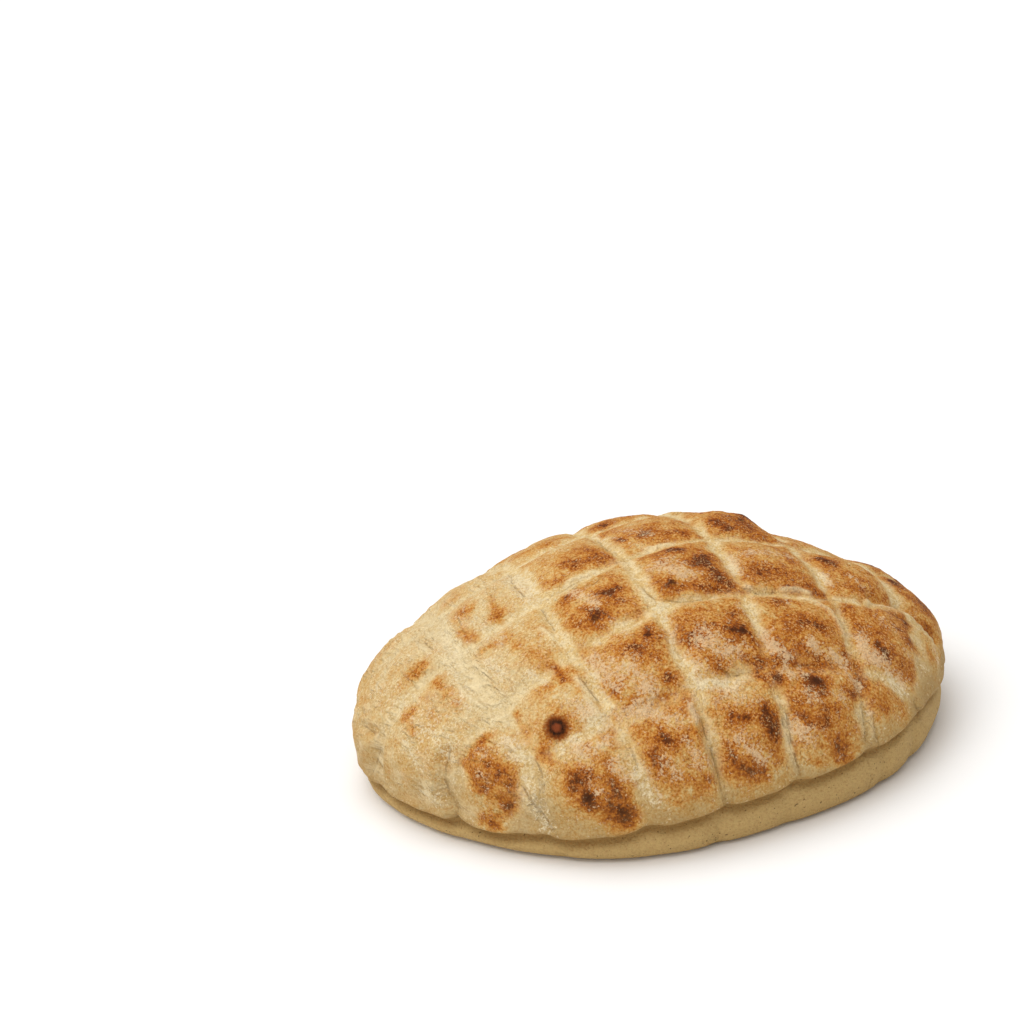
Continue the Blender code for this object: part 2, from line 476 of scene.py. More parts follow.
def seen_at(pixel_x, pixel_y):
    """The place on the crust that the camera sees there, or None where the ray misses."""
    return crust_tree.ray_cast(CAMERA_PLACE, ray_through(pixel_x, pixel_y))[0]


def under_plan(plan_x, plan_y):
    """The place on the crust straight under a place of the plan."""
    above = Vector((plan_x - middle[0], plan_y - middle[1], 1.0))
    return crust_tree.ray_cast(above, Vector((0.0, 0.0, -1.0)))[0]


MILLIMETRE = 0.001
FRAY_SMALL = 0.16
FRAY_MIDDLE = 0.14


def away_from_stroke(start, end):
    """How far each point of the mesh is from a straight stroke between two places on the crust."""
    start = np.array(start)
    along = np.array(end) - start
    ahead = np.clip((scored_form - start) @ along / max(along @ along, 1e-12), 0.0, 1.0)
    away = np.linalg.norm(scored_form - start - ahead[:, None] * along, axis=1)
    return away * (1.0 + FRAY_SMALL * uneven_small + FRAY_MIDDLE * uneven_middle)


def painted(strokes):
    """A mask of soft strokes, each between two places of the picture, with its reach and strength."""
    bare = np.ones_like(x)
    for first_x, first_y, last_x, last_y, stroke_reach, strength in strokes:
        start = seen_at(first_x, first_y)
        end = seen_at(last_x, last_y)
        if start is not None and end is not None:
            bare *= 1.0 - strength * bell(away_from_stroke(start, end), stroke_reach * MILLIMETRE)
    return 1.0 - bare


RING_IN_PICTURE = (557, 728)
print("the ring blister lies at", [round(1000 * part, 1) for part in seen_at(*RING_IN_PICTURE)])

# %% [markdown]
# A crease is where the skin folded or tore: a thin line that the material darkens with painted shade. A
# pleat is a deeper one with a soft raised lip on one side and the same painted shade, a ridge is a thin pale
# fold that stands up, its paleness partly a painted highlight, and a dent nicks the band below the lip. Each
# line is a short chain of places in the picture. We carry the places to the crust, join them by straight
# stretches, and measure how far each point of the mesh is from that walk.

# %% Press in the creases
CREASES = (
    ((519, 784), (528, 797), (538, 811), (547, 822), (553, 834)),
    ((534, 758), (541, 775), (545, 792)),
    ((786, 708), (791, 738), (797, 763), (801, 778)),
    ((861, 702), (865, 725), (867, 745)),
    ((872, 712), (877, 735), (874, 755)),
    ((421, 640), (428, 645), (434, 650)),
    ((508, 572), (514, 586), (526, 597)),
    ((568, 588), (580, 586), (592, 583), (604, 573)),
    ((541, 607), (547, 619), (556, 632)),
    ((641, 587), (650, 596), (660, 600)),
    ((662, 600), (690, 601), (715, 597)),
    ((579, 677), (590, 691), (601, 707)),
    ((720, 668), (733, 675), (747, 673)),
    ((845, 563), (862, 572), (878, 582)),
    ((507, 747), (514, 758)),
    ((597, 539), (603, 545), (609, 552)),
    ((739, 588), (760, 594), (780, 592)),
    ((914, 697), (917, 708), (919, 722)),
)
PLEATS = (
    (((350, 714), (362, 725), (375, 736)), 1.5, 2.0, -1),
    (((382, 745), (375, 760), (369, 778)), 1.3, 2.2, -1),
    (((450, 744), (443, 765), (442, 782), (447, 797), (455, 810), (461, 824)), 2.0, 1.9, -1),
    (((700, 716), (706, 735), (713, 755), (720, 778), (724, 808)), 1.6, 1.5, -1),
    (((866, 598), (885, 601), (904, 609), (922, 624), (940, 646)), 2.4, 3.2, -1),
)
BASE_DENTS = (
    (718, 832, 2.0, 3.0),
    (788, 820, 1.3, 3.0),
    (886, 772, 1.4, 3.0),
    (915, 750, 1.4, 3.0),
    (560, 855, 0.8, 4.0),
)
RIDGES = (
    ((573, 675), (583, 686), (595, 701)),
    ((582, 693), (593, 706), (602, 719)),
    ((457, 685), (468, 696), (481, 707)),
    ((564, 585), (585, 577), (601, 570)),
    ((640, 549), (655, 548), (674, 544)),
    ((742, 586), (755, 592)),
    ((776, 590), (798, 590), (813, 595)),
    ((796, 597), (815, 602), (830, 612), (838, 625), (846, 641)),
    ((862, 602), (885, 604), (903, 613), (919, 631), (933, 651)),
    ((858, 702), (862, 722), (864, 740)),
    ((869, 714), (873, 735), (871, 752)),
    ((783, 710), (788, 738), (794, 763), (798, 776)),
    ((688, 704), (694, 716), (699, 727)),
    ((537, 627), (547, 633), (557, 642)),
    ((640, 588), (646, 597), (656, 604)),
    ((518, 787), (528, 803), (538, 818)),
    ((411, 640), (421, 647), (432, 656)),
    ((375, 737), (380, 752), (376, 770), (370, 782)),
)
CREASE_END_FADE = 0.0025
CREASE_FRAY = 0.0004
FOLD_DEPTH = 0.0008
FOLD_HALF_WIDTH = 0.0009
PLEAT_LIP_PLACE = 1.6
PLEAT_LIP_REACH = 1.4
PLEAT_LIP_SHARE = 0.60
PLEAT_ENDS_WITHIN = 0.02
DENT_FADE = 0.004
RIDGE_RISE = 0.0008
RIDGE_HALF_WIDTH = 0.0009


def away_from_chain(chain):
    """Each point's distance to a chain of places, the same with a sign, and 0 at the ends to 1 within."""
    stops = [seen_at(*pixel) for pixel in chain]
    stops = np.array([stop for stop in stops if stop is not None])
    whole = np.linalg.norm(np.diff(stops, axis=0), axis=1).sum()
    nearest = np.full(len(x), 1.0)
    signed = np.full(len(x), 1.0)
    here = np.zeros_like(x)
    walked = 0.0
    for start, end in zip(stops[:-1], stops[1:]):
        length = np.linalg.norm(end - start)
        forward = (end - start) / length
        ahead = np.clip((scored_form - start) @ forward, 0.0, length)
        away = np.linalg.norm(scored_form - start - ahead[:, None] * forward, axis=1)
        side = ((scored_form - start) * np.cross(facing, forward)).sum(axis=1)
        closer = away < nearest
        nearest = np.where(closer, away, nearest)
        signed = np.where(closer, np.sign(side) * away, signed)
        from_end = np.minimum(walked + ahead, whole - walked - ahead)
        here = np.where(closer, smooth_step(from_end / CREASE_END_FADE + 0.1), here)
        walked += length
    return nearest, signed + CREASE_FRAY * uneven_small, here


pleat = np.zeros_like(x)
for chain, depth, width, raised_side in PLEATS:
    nearest, signed, here = away_from_chain(chain)
    remember_crease(signed, here)
    pleat += depth * MILLIMETRE * here * bell(nearest, width * MILLIMETRE)
    lip_place = PLEAT_LIP_PLACE * width * MILLIMETRE
    over = bell(signed * raised_side - lip_place, PLEAT_LIP_REACH * width * MILLIMETRE)
    pleat -= PLEAT_LIP_SHARE * depth * MILLIMETRE * here * over * (nearest < PLEAT_ENDS_WITHIN)

dent = np.zeros_like(x)
for pixel_x, pixel_y, depth, width in BASE_DENTS:
    place = seen_at(pixel_x, pixel_y)
    dent_at = math.atan2(place.y + middle[1], place.x + middle[0])
    away = np.abs(np.angle(np.exp(1j * (angle - dent_at)))) * rim
    dent += depth * MILLIMETRE * np.exp(-away / (width * MILLIMETRE)) * smooth_step((lip - z) / DENT_FADE)

fold = np.zeros_like(x)
for chain in CREASES:
    nearest, signed, here = away_from_chain(chain)
    remember_crease(signed, here)
    fold = np.maximum(fold, here * bell(nearest, FOLD_HALF_WIDTH))
ridge = np.zeros_like(x)
for chain in RIDGES:
    nearest, _, here = away_from_chain(chain)
    ridge = np.maximum(ridge, here * bell(nearest, RIDGE_HALF_WIDTH))
print("points in creases:", int((fold > 0.5).sum()), "and on ridges:", int((ridge > 0.5).sum()))

# %% [markdown]
# ## Burns
#
# The oven's heat browned the crust from the right and the back, and burnt its blisters. A black burn has a
# brown halo, and a soft one is only a brown cloud. One blister at the front burst and dried as a dark ring
# round a red-brown heart. For each burn we note its place, in the picture or for those behind in the plan,
# its radius in millimetres and how black it is.

# %% Place the burns
BURNS_IN_PICTURE = (
    (672, 583, 1.7, 1.00), (733, 631, 1.5, 0.95), (742, 631, 1.6, 1.00),
    (595, 618, 2.2, 1.00), (604, 593, 1.8, 0.60), (612, 591, 1.6, 0.50),
    (566, 597, 1.7, 0.75), (587, 558, 2.2, 0.50), (816, 681, 2.2, 1.00),
    (588, 798, 2.4, 1.00), (578, 781, 1.9, 0.80), (621, 811, 2.4, 0.85),
    (878, 645, 1.7, 0.95), (882, 650, 1.4, 0.80), (671, 549, 1.5, 0.80),
    (678, 550, 1.5, 0.80), (708, 559, 2.2, 0.60), (718, 575, 1.9, 0.55),
    (761, 573, 1.3, 0.80), (716, 524, 1.5, 0.70), (741, 520, 2.0, 0.95),
    (724, 526, 1.5, 0.65), (826, 560, 1.6, 0.70), (833, 562, 1.4, 0.60),
    (746, 717, 1.6, 0.90), (733, 716, 1.5, 0.70), (766, 711, 1.9, 0.75),
    (771, 731, 2.1, 0.80), (648, 634, 1.9, 0.80), (640, 651, 2.0, 0.45),
    (645, 534, 1.8, 0.60), (620, 541, 1.6, 0.45), (680, 537, 1.6, 0.45),
    (602, 524, 1.8, 0.50), (626, 516, 1.8, 0.50), (690, 635, 2.2, 0.45),
    (663, 739, 2.4, 0.65), (656, 757, 2.0, 0.60), (668, 681, 1.8, 0.35),
    (735, 762, 2.2, 0.55), (753, 769, 2.2, 0.50), (850, 692, 1.9, 0.50),
    (822, 721, 1.6, 0.50), (841, 743, 2.4, 0.40), (847, 760, 2.0, 0.45),
    (907, 640, 1.8, 0.50), (908, 675, 2.0, 0.45), (891, 581, 1.8, 0.65),
    (900, 584, 1.8, 0.60), (921, 602, 2.2, 0.50), (904, 625, 1.4, 0.65),
    (931, 634, 2.0, 0.45), (818, 623, 1.8, 0.50), (785, 600, 1.4, 0.30),
    (776, 677, 1.8, 0.45), (761, 677, 1.8, 0.40), (408, 714, 1.4, 0.45),
    (418, 669, 1.6, 0.50), (437, 683, 1.2, 0.30), (466, 611, 1.5, 0.45),
    (497, 617, 1.2, 0.40), (467, 757, 1.8, 0.45), (478, 778, 1.8, 0.40),
    (503, 782, 1.8, 0.45), (510, 806, 1.6, 0.45), (493, 821, 2.0, 0.50),
    (561, 672, 1.3, 0.50), (563, 678, 1.0, 0.45), (528, 733, 1.2, 0.30),
    (545, 759, 1.4, 0.30), (705, 777, 1.2, 0.35),
)
BURNS_BEHIND = (
    (-0.002, 0.046, 2.5, 0.70), (-0.009, 0.0255, 2.0, 0.60), (-0.028, 0.0335, 1.8, 0.50),
    (-0.038, 0.052, 2.0, 0.50), (-0.046, 0.060, 1.8, 0.40), (-0.033, 0.077, 1.2, 0.40),
    (0.028, 0.070, 1.5, 0.50), (0.046, 0.0435, 2.5, 0.90), (0.053, 0.0335, 2.0, 0.80),
    (0.064, 0.025, 2.0, 0.60), (0.061, 0.057, 2.2, 0.70), (0.077, 0.032, 2.8, 0.70),
    (0.0605, 0.0055, 1.6, 0.60), (0.068, 0.053, 3.0, 0.40), (-0.0015, 0.0355, 1.5, 0.50),
)
CHARRED_BLISTER = (0.0365, 0.0230)
CHAR_CORE = 0.0045
RING_HEART = 0.0013
RING_EDGE = 0.0052
RING_SOFTNESS = 0.0040
RING_CREST = 0.0024
RING_FRAY = 0.2
RING_HALO = 0.9
RING_HALO_REACH = 0.0062
BURN_FRAY = 0.25
HALO_REACH = 2.3
HALO_LEAST = 0.35

burn_mask = np.zeros_like(x)
halo_mask = np.zeros_like(x)


def burn(place, radius, blackness):
    """Adds a burn, black at its heart, and the brown halo around it."""
    global burn_mask, halo_mask
    away = np.linalg.norm(scored_form - np.array(place), axis=1)
    away = away * (1.0 + BURN_FRAY * uneven_small)
    burn_mask = np.maximum(burn_mask, blackness * bell(away, radius))
    halo_mask = np.maximum(halo_mask, min(1.0, HALO_LEAST + blackness) * bell(away, HALO_REACH * radius))


for pixel_x, pixel_y, radius, blackness in BURNS_IN_PICTURE:
    place = seen_at(pixel_x, pixel_y)
    if place is not None:
        burn(place, radius * MILLIMETRE, blackness)
for plan_x, plan_y, radius, blackness in BURNS_BEHIND:
    burn(under_plan(plan_x, plan_y), radius * MILLIMETRE, blackness)
burn(under_plan(*CHARRED_BLISTER), CHAR_CORE, 1.0)

ring_place = seen_at(*RING_IN_PICTURE)
from_ring = np.linalg.norm(scored_form - np.array(ring_place), axis=1)
ring_mask = smooth_step((RING_EDGE - from_ring * (1.0 + RING_FRAY * uneven_small)) / RING_SOFTNESS)
heart_mask = smooth_step((1.25 * RING_HEART - from_ring) / (0.5 * RING_HEART))
halo_mask = np.maximum(halo_mask, RING_HALO * bell(from_ring, RING_HALO_REACH))
print("burns:", len(BURNS_IN_PICTURE) + len(BURNS_BEHIND) + 2)

# %% [markdown]
# Around the burns the crust is toasted in clouds. We paint each cloud as a soft stroke between two places,
# with a reach in millimetres and a strength, and let the unevenness of the skin fray its edge. A wider and
# weaker wash of gold lies around them. Flour stayed on the skin in whitish patches, painted the same way.

# %% Paint the toasted clouds
WASH_SPREAD = 2.3
TOASTED = (
    (522, 554, 545, 545, 1.4, 0.45), (548, 540, 566, 536, 1.2, 0.40), (599, 525, 606, 525, 1.4, 0.58),
    (618, 517, 650, 513, 1.2, 0.58), (608, 533, 640, 530, 2.4, 0.42), (645, 528, 690, 525, 3.0, 0.54),
    (640, 536, 665, 534, 2.4, 0.58), (680, 531, 698, 536, 2.0, 0.67), (655, 545, 676, 541, 1.2, 0.47),
    (614, 540, 624, 541, 1.4, 0.63), (585, 548, 600, 560, 2.8, 0.47), (564, 565, 600, 560, 2.8, 0.65),
    (574, 568, 582, 568, 1.8, 0.79), (556, 573, 564, 575, 1.8, 0.35), (544, 583, 560, 581, 1.6, 0.42),
    (600, 553, 612, 562, 2.4, 0.58), (600, 592, 618, 590, 2.6, 0.76), (608, 575, 615, 585, 2.4, 0.47),
    (566, 598, 569, 611, 2.2, 0.55), (584, 610, 606, 616, 2.4, 0.79), (620, 604, 637, 612, 2.8, 0.63),
    (572, 624, 602, 628, 2.6, 0.53), (596, 606, 620, 600, 1.8, 0.58), (664, 551, 700, 556, 2.8, 0.74),
    (700, 560, 718, 575, 3.2, 0.76), (650, 557, 665, 565, 3.0, 0.53), (690, 562, 706, 580, 3.6, 0.67),
    (659, 582, 668, 590, 2.8, 0.65), (686, 586, 736, 589, 2.8, 0.87), (712, 580, 742, 592, 2.2, 0.78),
    (700, 610, 712, 640, 3.4, 0.56), (680, 629, 691, 641, 2.8, 0.69), (705, 652, 721, 668, 3.2, 0.78),
    (728, 603, 736, 625, 3.0, 0.78), (700, 625, 725, 635, 3.0, 0.56), (724, 632, 747, 632, 2.4, 0.93),
    (735, 642, 772, 640, 2.8, 0.73), (738, 656, 768, 659, 2.8, 0.62), (584, 651, 626, 645, 2.0, 0.50),
    (640, 646, 657, 655, 2.8, 0.71), (648, 628, 652, 640, 2.4, 0.63), (608, 686, 615, 690, 1.8, 0.61),
    (668, 680, 674, 684, 1.6, 0.67), (596, 664, 650, 690, 6.5, 0.24), (460, 632, 476, 640, 2.8, 0.25),
    (508, 634, 516, 646, 2.4, 0.28), (463, 613, 472, 608, 1.2, 0.42), (490, 596, 497, 617, 1.8, 0.24),
    (532, 652, 545, 664, 2.8, 0.34), (482, 650, 495, 644, 1.2, 0.38), (415, 670, 424, 666, 1.6, 0.27),
    (435, 682, 441, 687, 1.3, 0.40), (404, 719, 412, 711, 1.3, 0.44), (412, 728, 414, 733, 1.2, 0.45),
    (446, 694, 456, 708, 2.8, 0.26), (540, 690, 552, 688, 2.0, 0.50), (516, 714, 526, 734, 1.3, 0.48),
    (556, 668, 563, 680, 1.4, 0.65), (485, 737, 470, 756, 2.0, 0.60), (463, 762, 468, 768, 1.4, 0.62),
    (485, 760, 502, 771, 2.8, 0.54), (474, 778, 482, 776, 1.8, 0.70), (495, 775, 511, 785, 2.8, 0.56),
    (481, 789, 488, 788, 1.4, 0.60), (492, 796, 517, 795, 2.4, 0.55), (507, 807, 513, 805, 1.5, 0.72),
    (487, 822, 498, 826, 1.8, 0.70), (492, 815, 496, 814, 1.2, 0.50), (540, 758, 550, 757, 1.8, 0.55),
    (528, 744, 540, 750, 2.0, 0.35), (574, 784, 586, 778, 2.5, 0.70), (586, 778, 606, 765, 2.4, 0.58),
    (606, 765, 613, 782, 2.2, 0.62), (613, 782, 621, 800, 2.8, 0.61), (600, 800, 612, 806, 2.8, 0.53),
    (578, 786, 588, 798, 3.2, 0.64), (617, 808, 626, 815, 3.0, 0.70), (600, 757, 607, 760, 2.0, 0.40),
    (623, 818, 627, 825, 1.6, 0.48), (648, 720, 657, 723, 2.0, 0.50), (636, 733, 650, 739, 2.2, 0.36),
    (661, 737, 674, 746, 2.6, 0.58), (652, 753, 661, 767, 2.4, 0.54), (688, 700, 700, 728, 2.8, 0.45),
    (670, 709, 682, 714, 1.8, 0.36), (690, 740, 706, 775, 4.0, 0.35), (660, 776, 692, 784, 3.2, 0.34),
    (671, 793, 677, 803, 2.2, 0.43), (703, 776, 709, 778, 1.4, 0.52), (615, 714, 621, 722, 1.6, 0.40),
    (600, 736, 610, 734, 2.0, 0.40), (614, 744, 627, 751, 2.0, 0.34), (588, 748, 596, 762, 1.8, 0.34),
    (731, 716, 752, 720, 1.8, 0.54), (765, 704, 769, 716, 2.2, 0.72), (768, 724, 777, 739, 2.4, 0.79),
    (731, 757, 739, 765, 2.2, 0.52), (744, 768, 760, 773, 2.4, 0.46), (740, 738, 756, 756, 2.8, 0.29),
    (775, 744, 783, 759, 1.6, 0.46), (711, 710, 714, 715, 1.3, 0.48), (798, 689, 816, 691, 3.4, 0.70),
    (806, 679, 822, 684, 2.6, 0.93), (824, 700, 831, 716, 2.8, 0.63), (839, 703, 846, 713, 2.2, 0.58),
    (800, 712, 811, 722, 2.8, 0.56), (818, 717, 826, 725, 1.8, 0.56), (837, 738, 842, 752, 2.2, 0.63),
    (843, 759, 849, 764, 1.6, 0.72), (810, 761, 818, 763, 1.6, 0.38), (845, 688, 853, 694, 1.8, 0.72),
    (762, 661, 852, 667, 3.4, 0.81), (612, 722, 640, 706, 3.0, 0.32), (640, 706, 684, 694, 3.0, 0.34),
    (846, 655, 864, 690, 2.4, 0.56), (758, 674, 768, 683, 1.8, 0.69), (773, 674, 780, 681, 1.6, 0.76),
    (792, 700, 797, 716, 1.6, 0.41), (778, 604, 791, 626, 3.6, 0.81), (800, 619, 821, 631, 3.6, 0.87),
    (796, 640, 812, 657, 3.4, 0.87), (780, 640, 792, 632, 2.6, 0.67), (758, 567, 802, 576, 3.8, 0.90),
    (778, 585, 822, 594, 2.6, 0.83), (744, 578, 768, 581, 2.0, 0.83), (732, 549, 762, 552, 2.2, 0.47),
    (780, 551, 792, 561, 2.2, 0.65), (722, 520, 762, 533, 3.2, 0.83), (745, 538, 792, 545, 1.8, 0.69),
    (712, 522, 728, 529, 1.4, 0.67), (820, 558, 836, 565, 1.6, 0.81), (828, 567, 862, 581, 3.0, 0.81),
    (838, 588, 884, 594, 2.6, 0.81), (796, 545, 806, 560, 1.6, 0.50), (848, 561, 878, 566, 1.8, 0.67),
    (885, 578, 904, 589, 1.8, 0.84), (898, 589, 925, 612, 2.6, 0.67), (918, 599, 923, 607, 1.8, 0.90),
    (933, 628, 930, 642, 1.8, 0.62), (848, 608, 861, 636, 3.2, 0.93), (868, 610, 892, 618, 2.4, 0.69),
    (868, 624, 884, 634, 3.4, 0.67), (899, 620, 906, 627, 1.8, 0.74), (872, 640, 885, 653, 2.2, 0.87),
    (888, 650, 901, 656, 2.2, 0.74), (904, 637, 915, 650, 2.2, 0.76), (903, 668, 910, 677, 2.2, 0.56),
    (858, 690, 888, 700, 2.8, 0.46), (880, 684, 886, 706, 1.8, 0.52), (868, 703, 874, 709, 1.4, 0.47),
    (930, 662, 941, 686, 2.2, 0.50), (853, 663, 862, 682, 2.0, 0.62), (889, 660, 908, 664, 2.4, 0.50),
    (898, 700, 902, 712, 1.8, 0.32), (782, 655, 800, 662, 2.4, 0.74), (826, 632, 842, 648, 2.0, 0.62),
)
toasted = painted(TOASTED)
washed = painted([(*stroke[:4], WASH_SPREAD * stroke[4], stroke[5]) for stroke in TOASTED])
print("toasted clouds:", len(TOASTED))

# %% Paint the floury patches
FLOURED = (
    (570, 592, 592, 599, 2.0, 0.75), (590, 603, 599, 606, 1.4, 0.95), (652, 566, 680, 573, 2.8, 0.70),
    (668, 560, 690, 574, 3.4, 0.55), (730, 560, 737, 572, 2.6, 0.85), (745, 553, 790, 556, 2.6, 0.60),
    (822, 575, 829, 583, 2.0, 0.90), (848, 574, 862, 586, 1.4, 0.60), (764, 634, 773, 648, 2.3, 0.95),
    (780, 650, 786, 656, 2.4, 0.75), (811, 642, 818, 651, 1.9, 0.85), (834, 654, 843, 663, 2.2, 0.95),
    (786, 668, 793, 675, 1.9, 1.00), (801, 670, 806, 674, 1.2, 0.85), (860, 640, 869, 656, 2.9, 0.95),
    (784, 598, 788, 603, 1.1, 0.60), (849, 674, 858, 688, 1.8, 0.85), (880, 660, 896, 682, 3.6, 0.60),
    (893, 686, 906, 688, 2.2, 0.60), (806, 692, 816, 698, 2.6, 0.60), (836, 694, 844, 700, 2.2, 0.60),
    (700, 640, 726, 652, 3.0, 0.80), (688, 655, 700, 668, 2.6, 0.55), (734, 650, 746, 645, 2.2, 0.55),
    (700, 681, 732, 688, 3.6, 0.80), (600, 746, 607, 742, 1.8, 0.85), (614, 764, 627, 776, 2.3, 0.70),
    (588, 784, 598, 791, 1.8, 0.50), (664, 759, 677, 776, 2.6, 0.55), (640, 768, 656, 800, 2.8, 0.50),
    (508, 743, 516, 756, 2.8, 0.85), (476, 752, 486, 757, 1.8, 0.60), (478, 773, 486, 780, 1.6, 0.60),
    (594, 660, 612, 682, 4.2, 0.75), (628, 664, 650, 690, 4.2, 0.70), (585, 708, 602, 726, 2.8, 0.70),
    (566, 700, 580, 712, 2.4, 0.50), (790, 720, 806, 735, 2.4, 0.60), (574, 740, 586, 750, 3.0, 0.75),
    (700, 628, 712, 632, 2.4, 0.55), (878, 618, 896, 632, 2.4, 0.45), (740, 608, 752, 618, 2.0, 0.40),
    (690, 704, 696, 718, 1.4, 0.90), (725, 700, 760, 702, 2.4, 0.45), (615, 712, 640, 716, 2.4, 0.45),
    (870, 714, 877, 748, 1.5, 0.70), (527, 785, 545, 825, 2.6, 0.65), (446, 754, 452, 760, 1.6, 0.80),
    (406, 745, 422, 768, 2.4, 0.55), (420, 730, 450, 742, 2.6, 0.50), (425, 790, 440, 800, 2.4, 0.50),
    (512, 577, 528, 590, 2.6, 0.60), (634, 706, 676, 722, 3.0, 0.65), (690, 745, 705, 770, 2.6, 0.55),
    (738, 738, 764, 758, 2.8, 0.65), (796, 730, 812, 742, 2.6, 0.50), (560, 745, 590, 765, 2.6, 0.40),
    (463, 614, 500, 640, 3.2, 0.35), (445, 622, 456, 650, 3.0, 0.45), (488, 662, 503, 676, 2.6, 0.60),
    (530, 672, 544, 684, 2.4, 0.60), (640, 708, 650, 716, 1.8, 0.50), (906, 652, 926, 668, 1.8, 0.40),
    (932, 650, 938, 662, 1.6, 0.70), (505, 575, 530, 600, 4.0, 0.60), (440, 640, 470, 700, 4.0, 0.45),
    (376, 690, 430, 720, 5.0, 0.35), (360, 600, 470, 585, 5.0, 0.40), (612, 622, 628, 632, 2.2, 0.45),
    (655, 605, 672, 640, 2.2, 0.45), (602, 540, 640, 545, 1.4, 0.45), (618, 530, 648, 534, 2.2, 0.50),
)
floured = painted(FLOURED)
print("floury patches:", len(FLOURED))

# %% Finish the form
RING_RISE = 0.00035
RING_RISE_REACH = 0.0010
RING_PIT = 0.0003
RING_PIT_REACH = 0.0012
SKIN_ON_BAND = 0.35

skin += RING_RISE * bell(from_ring - RING_CREST, RING_RISE_REACH)
skin -= RING_PIT * bell(from_ring, RING_PIT_REACH)
relief = score_relief * scored + band_depth * on_wall
relief += skin * (SKIN_ON_BAND + (1.0 - SKIN_ON_BAND) * scored) * (1.0 - over_base)
relief += FOLD_DEPTH * fold - RIDGE_RISE * ridge + pleat + dent * (1.0 - over_base)
finished = shaped(relief)

own_low = finished.min(axis=0)
own_high = finished.max(axis=0)
box_low = np.array(pita_low)
box_high = np.array(pita_high)
over = max((own_high - box_high).max(), (box_low - own_low)[:2].max())
print("the finished form stands", round(1000 * over, 2), "mm past the measured box before it is trimmed")
finished = np.clip(finished, box_low, box_high)
for vertex, place in zip(work.verts, finished):
    vertex.co = place

bmesh.ops.recalc_face_normals(work, faces=work.faces[:])
pita_mesh = bpy.data.meshes.new("pita_bread")
work.to_mesh(pita_mesh)
print("faces:", len(pita_mesh.polygons), "points:", len(pita_mesh.vertices))

# %% Make the object and stand it in for the measured one
pita_mesh.shade_smooth()
pita = bpy.data.objects.new("pita_bread", pita_mesh)
bpy.context.scene.collection.objects.link(pita)
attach(pita, "root")
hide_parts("pita")

# %% [markdown]
# ## How brown each place is
#
# Browning changes slowly over the crust, so we keep it as a number on each point of the mesh and let the
# material break it up finely. Where the camera sees the crust, it follows the painted clouds and their wash.
# Behind, it follows a rule: pads are brown, scores stay pale, and more heat came from the right.

# %% Tell pads from scores, and the side that shows from the one behind
PALE_HALF_WIDTH = 0.0008
PALE_CORE = 0.0004
PAD_EDGE_WIDTH = 0.0040
LENGTHWISE_PALE_REACH = 0.0028
CROSSWISE_PALE_REACH = 0.0024
PALE_WANDER = 0.0016
PALE_FRAY = 0.0010
SHOWN_FADE = 0.15

on_pad = np.ones_like(x)
pale_free = np.ones_like(x)
for number, away in enumerate(score_distances):
    crosswise = number >= len(LENGTHWISE_SCORES)
    reach = CROSSWISE_PALE_REACH if crosswise else LENGTHWISE_PALE_REACH
    reach = reach * (1.0 + 0.45 * lumps(0.011, 80 + number))
    wandering = np.abs(away + PALE_WANDER * uneven_middle) + PALE_FRAY * uneven_small
    on_pad *= smooth_step((wandering - PALE_HALF_WIDTH) / PAD_EDGE_WIDTH)
    pale_free *= smooth_step((wandering - PALE_CORE) / reach)

to_camera = np.array(CAMERA_PLACE) - scored_form
to_camera /= np.linalg.norm(to_camera, axis=1, keepdims=True)
shown = smooth_step(((facing * to_camera).sum(axis=1) + 0.05) / SHOWN_FADE)
print("points on pads:", int((on_pad > 0.5).sum()), "and shown:", int((shown > 0.5).sum()))

# %% Work out the browning
HEAT_FROM = -0.062
HEAT_REACH = 0.085
BASE_TONE = 0.17
HEAT_TONE = 0.17
PAD_TONE = 0.08
UNEVEN_TONE = 0.10
TOASTED_TONE = 0.76
WASH_TONE = 0.40
WASH_STRENGTH = 0.75
HALO_TONE = 0.30
BROWNEST = 1.05
PALE_SCORE_SHARE = 0.40
WASH_IN_SCORES = 0.55
MOST_TOASTED = 0.95
MOST_TOASTED_BEHIND = 0.85
TOP_FADE = 0.012
BEHIND_ABOVE_LIP = 0.004

heat = smooth_step((along_x - HEAT_FROM) / HEAT_REACH)
by_rule = on_pad * np.clip(0.22 + 0.50 * heat + 0.45 * lumps(0.008, 71), 0.0, MOST_TOASTED_BEHIND)
by_rule *= smooth_step((z - lip - BEHIND_ABOVE_LIP) / TOP_FADE)
ragged = np.clip(1.0 + 0.45 * uneven_small + 0.35 * uneven_middle, 0.4, 1.4)
toast_here = shown * np.clip(toasted * ragged, 0.0, MOST_TOASTED) + (1.0 - shown) * by_rule

high_enough = smooth_step((z - lip) / TOP_FADE)
browning = BASE_TONE + (HEAT_TONE * heat + PAD_TONE * on_pad) * high_enough
browning += UNEVEN_TONE * lumps(0.009, 70)
browning *= 1.0 - PALE_SCORE_SHARE * (1.0 - pale_free)
wash_here = shown * washed * (WASH_IN_SCORES + (1.0 - WASH_IN_SCORES) * pale_free)
browning += np.maximum(WASH_TONE - browning, 0.0) * WASH_STRENGTH * wash_here
browning += (TOASTED_TONE - browning) * toast_here
browning = np.clip(browning + HALO_TONE * halo_mask, 0.0, BROWNEST)
print("browning from", round(browning.min(), 2), "to", round(browning.max(), 2))
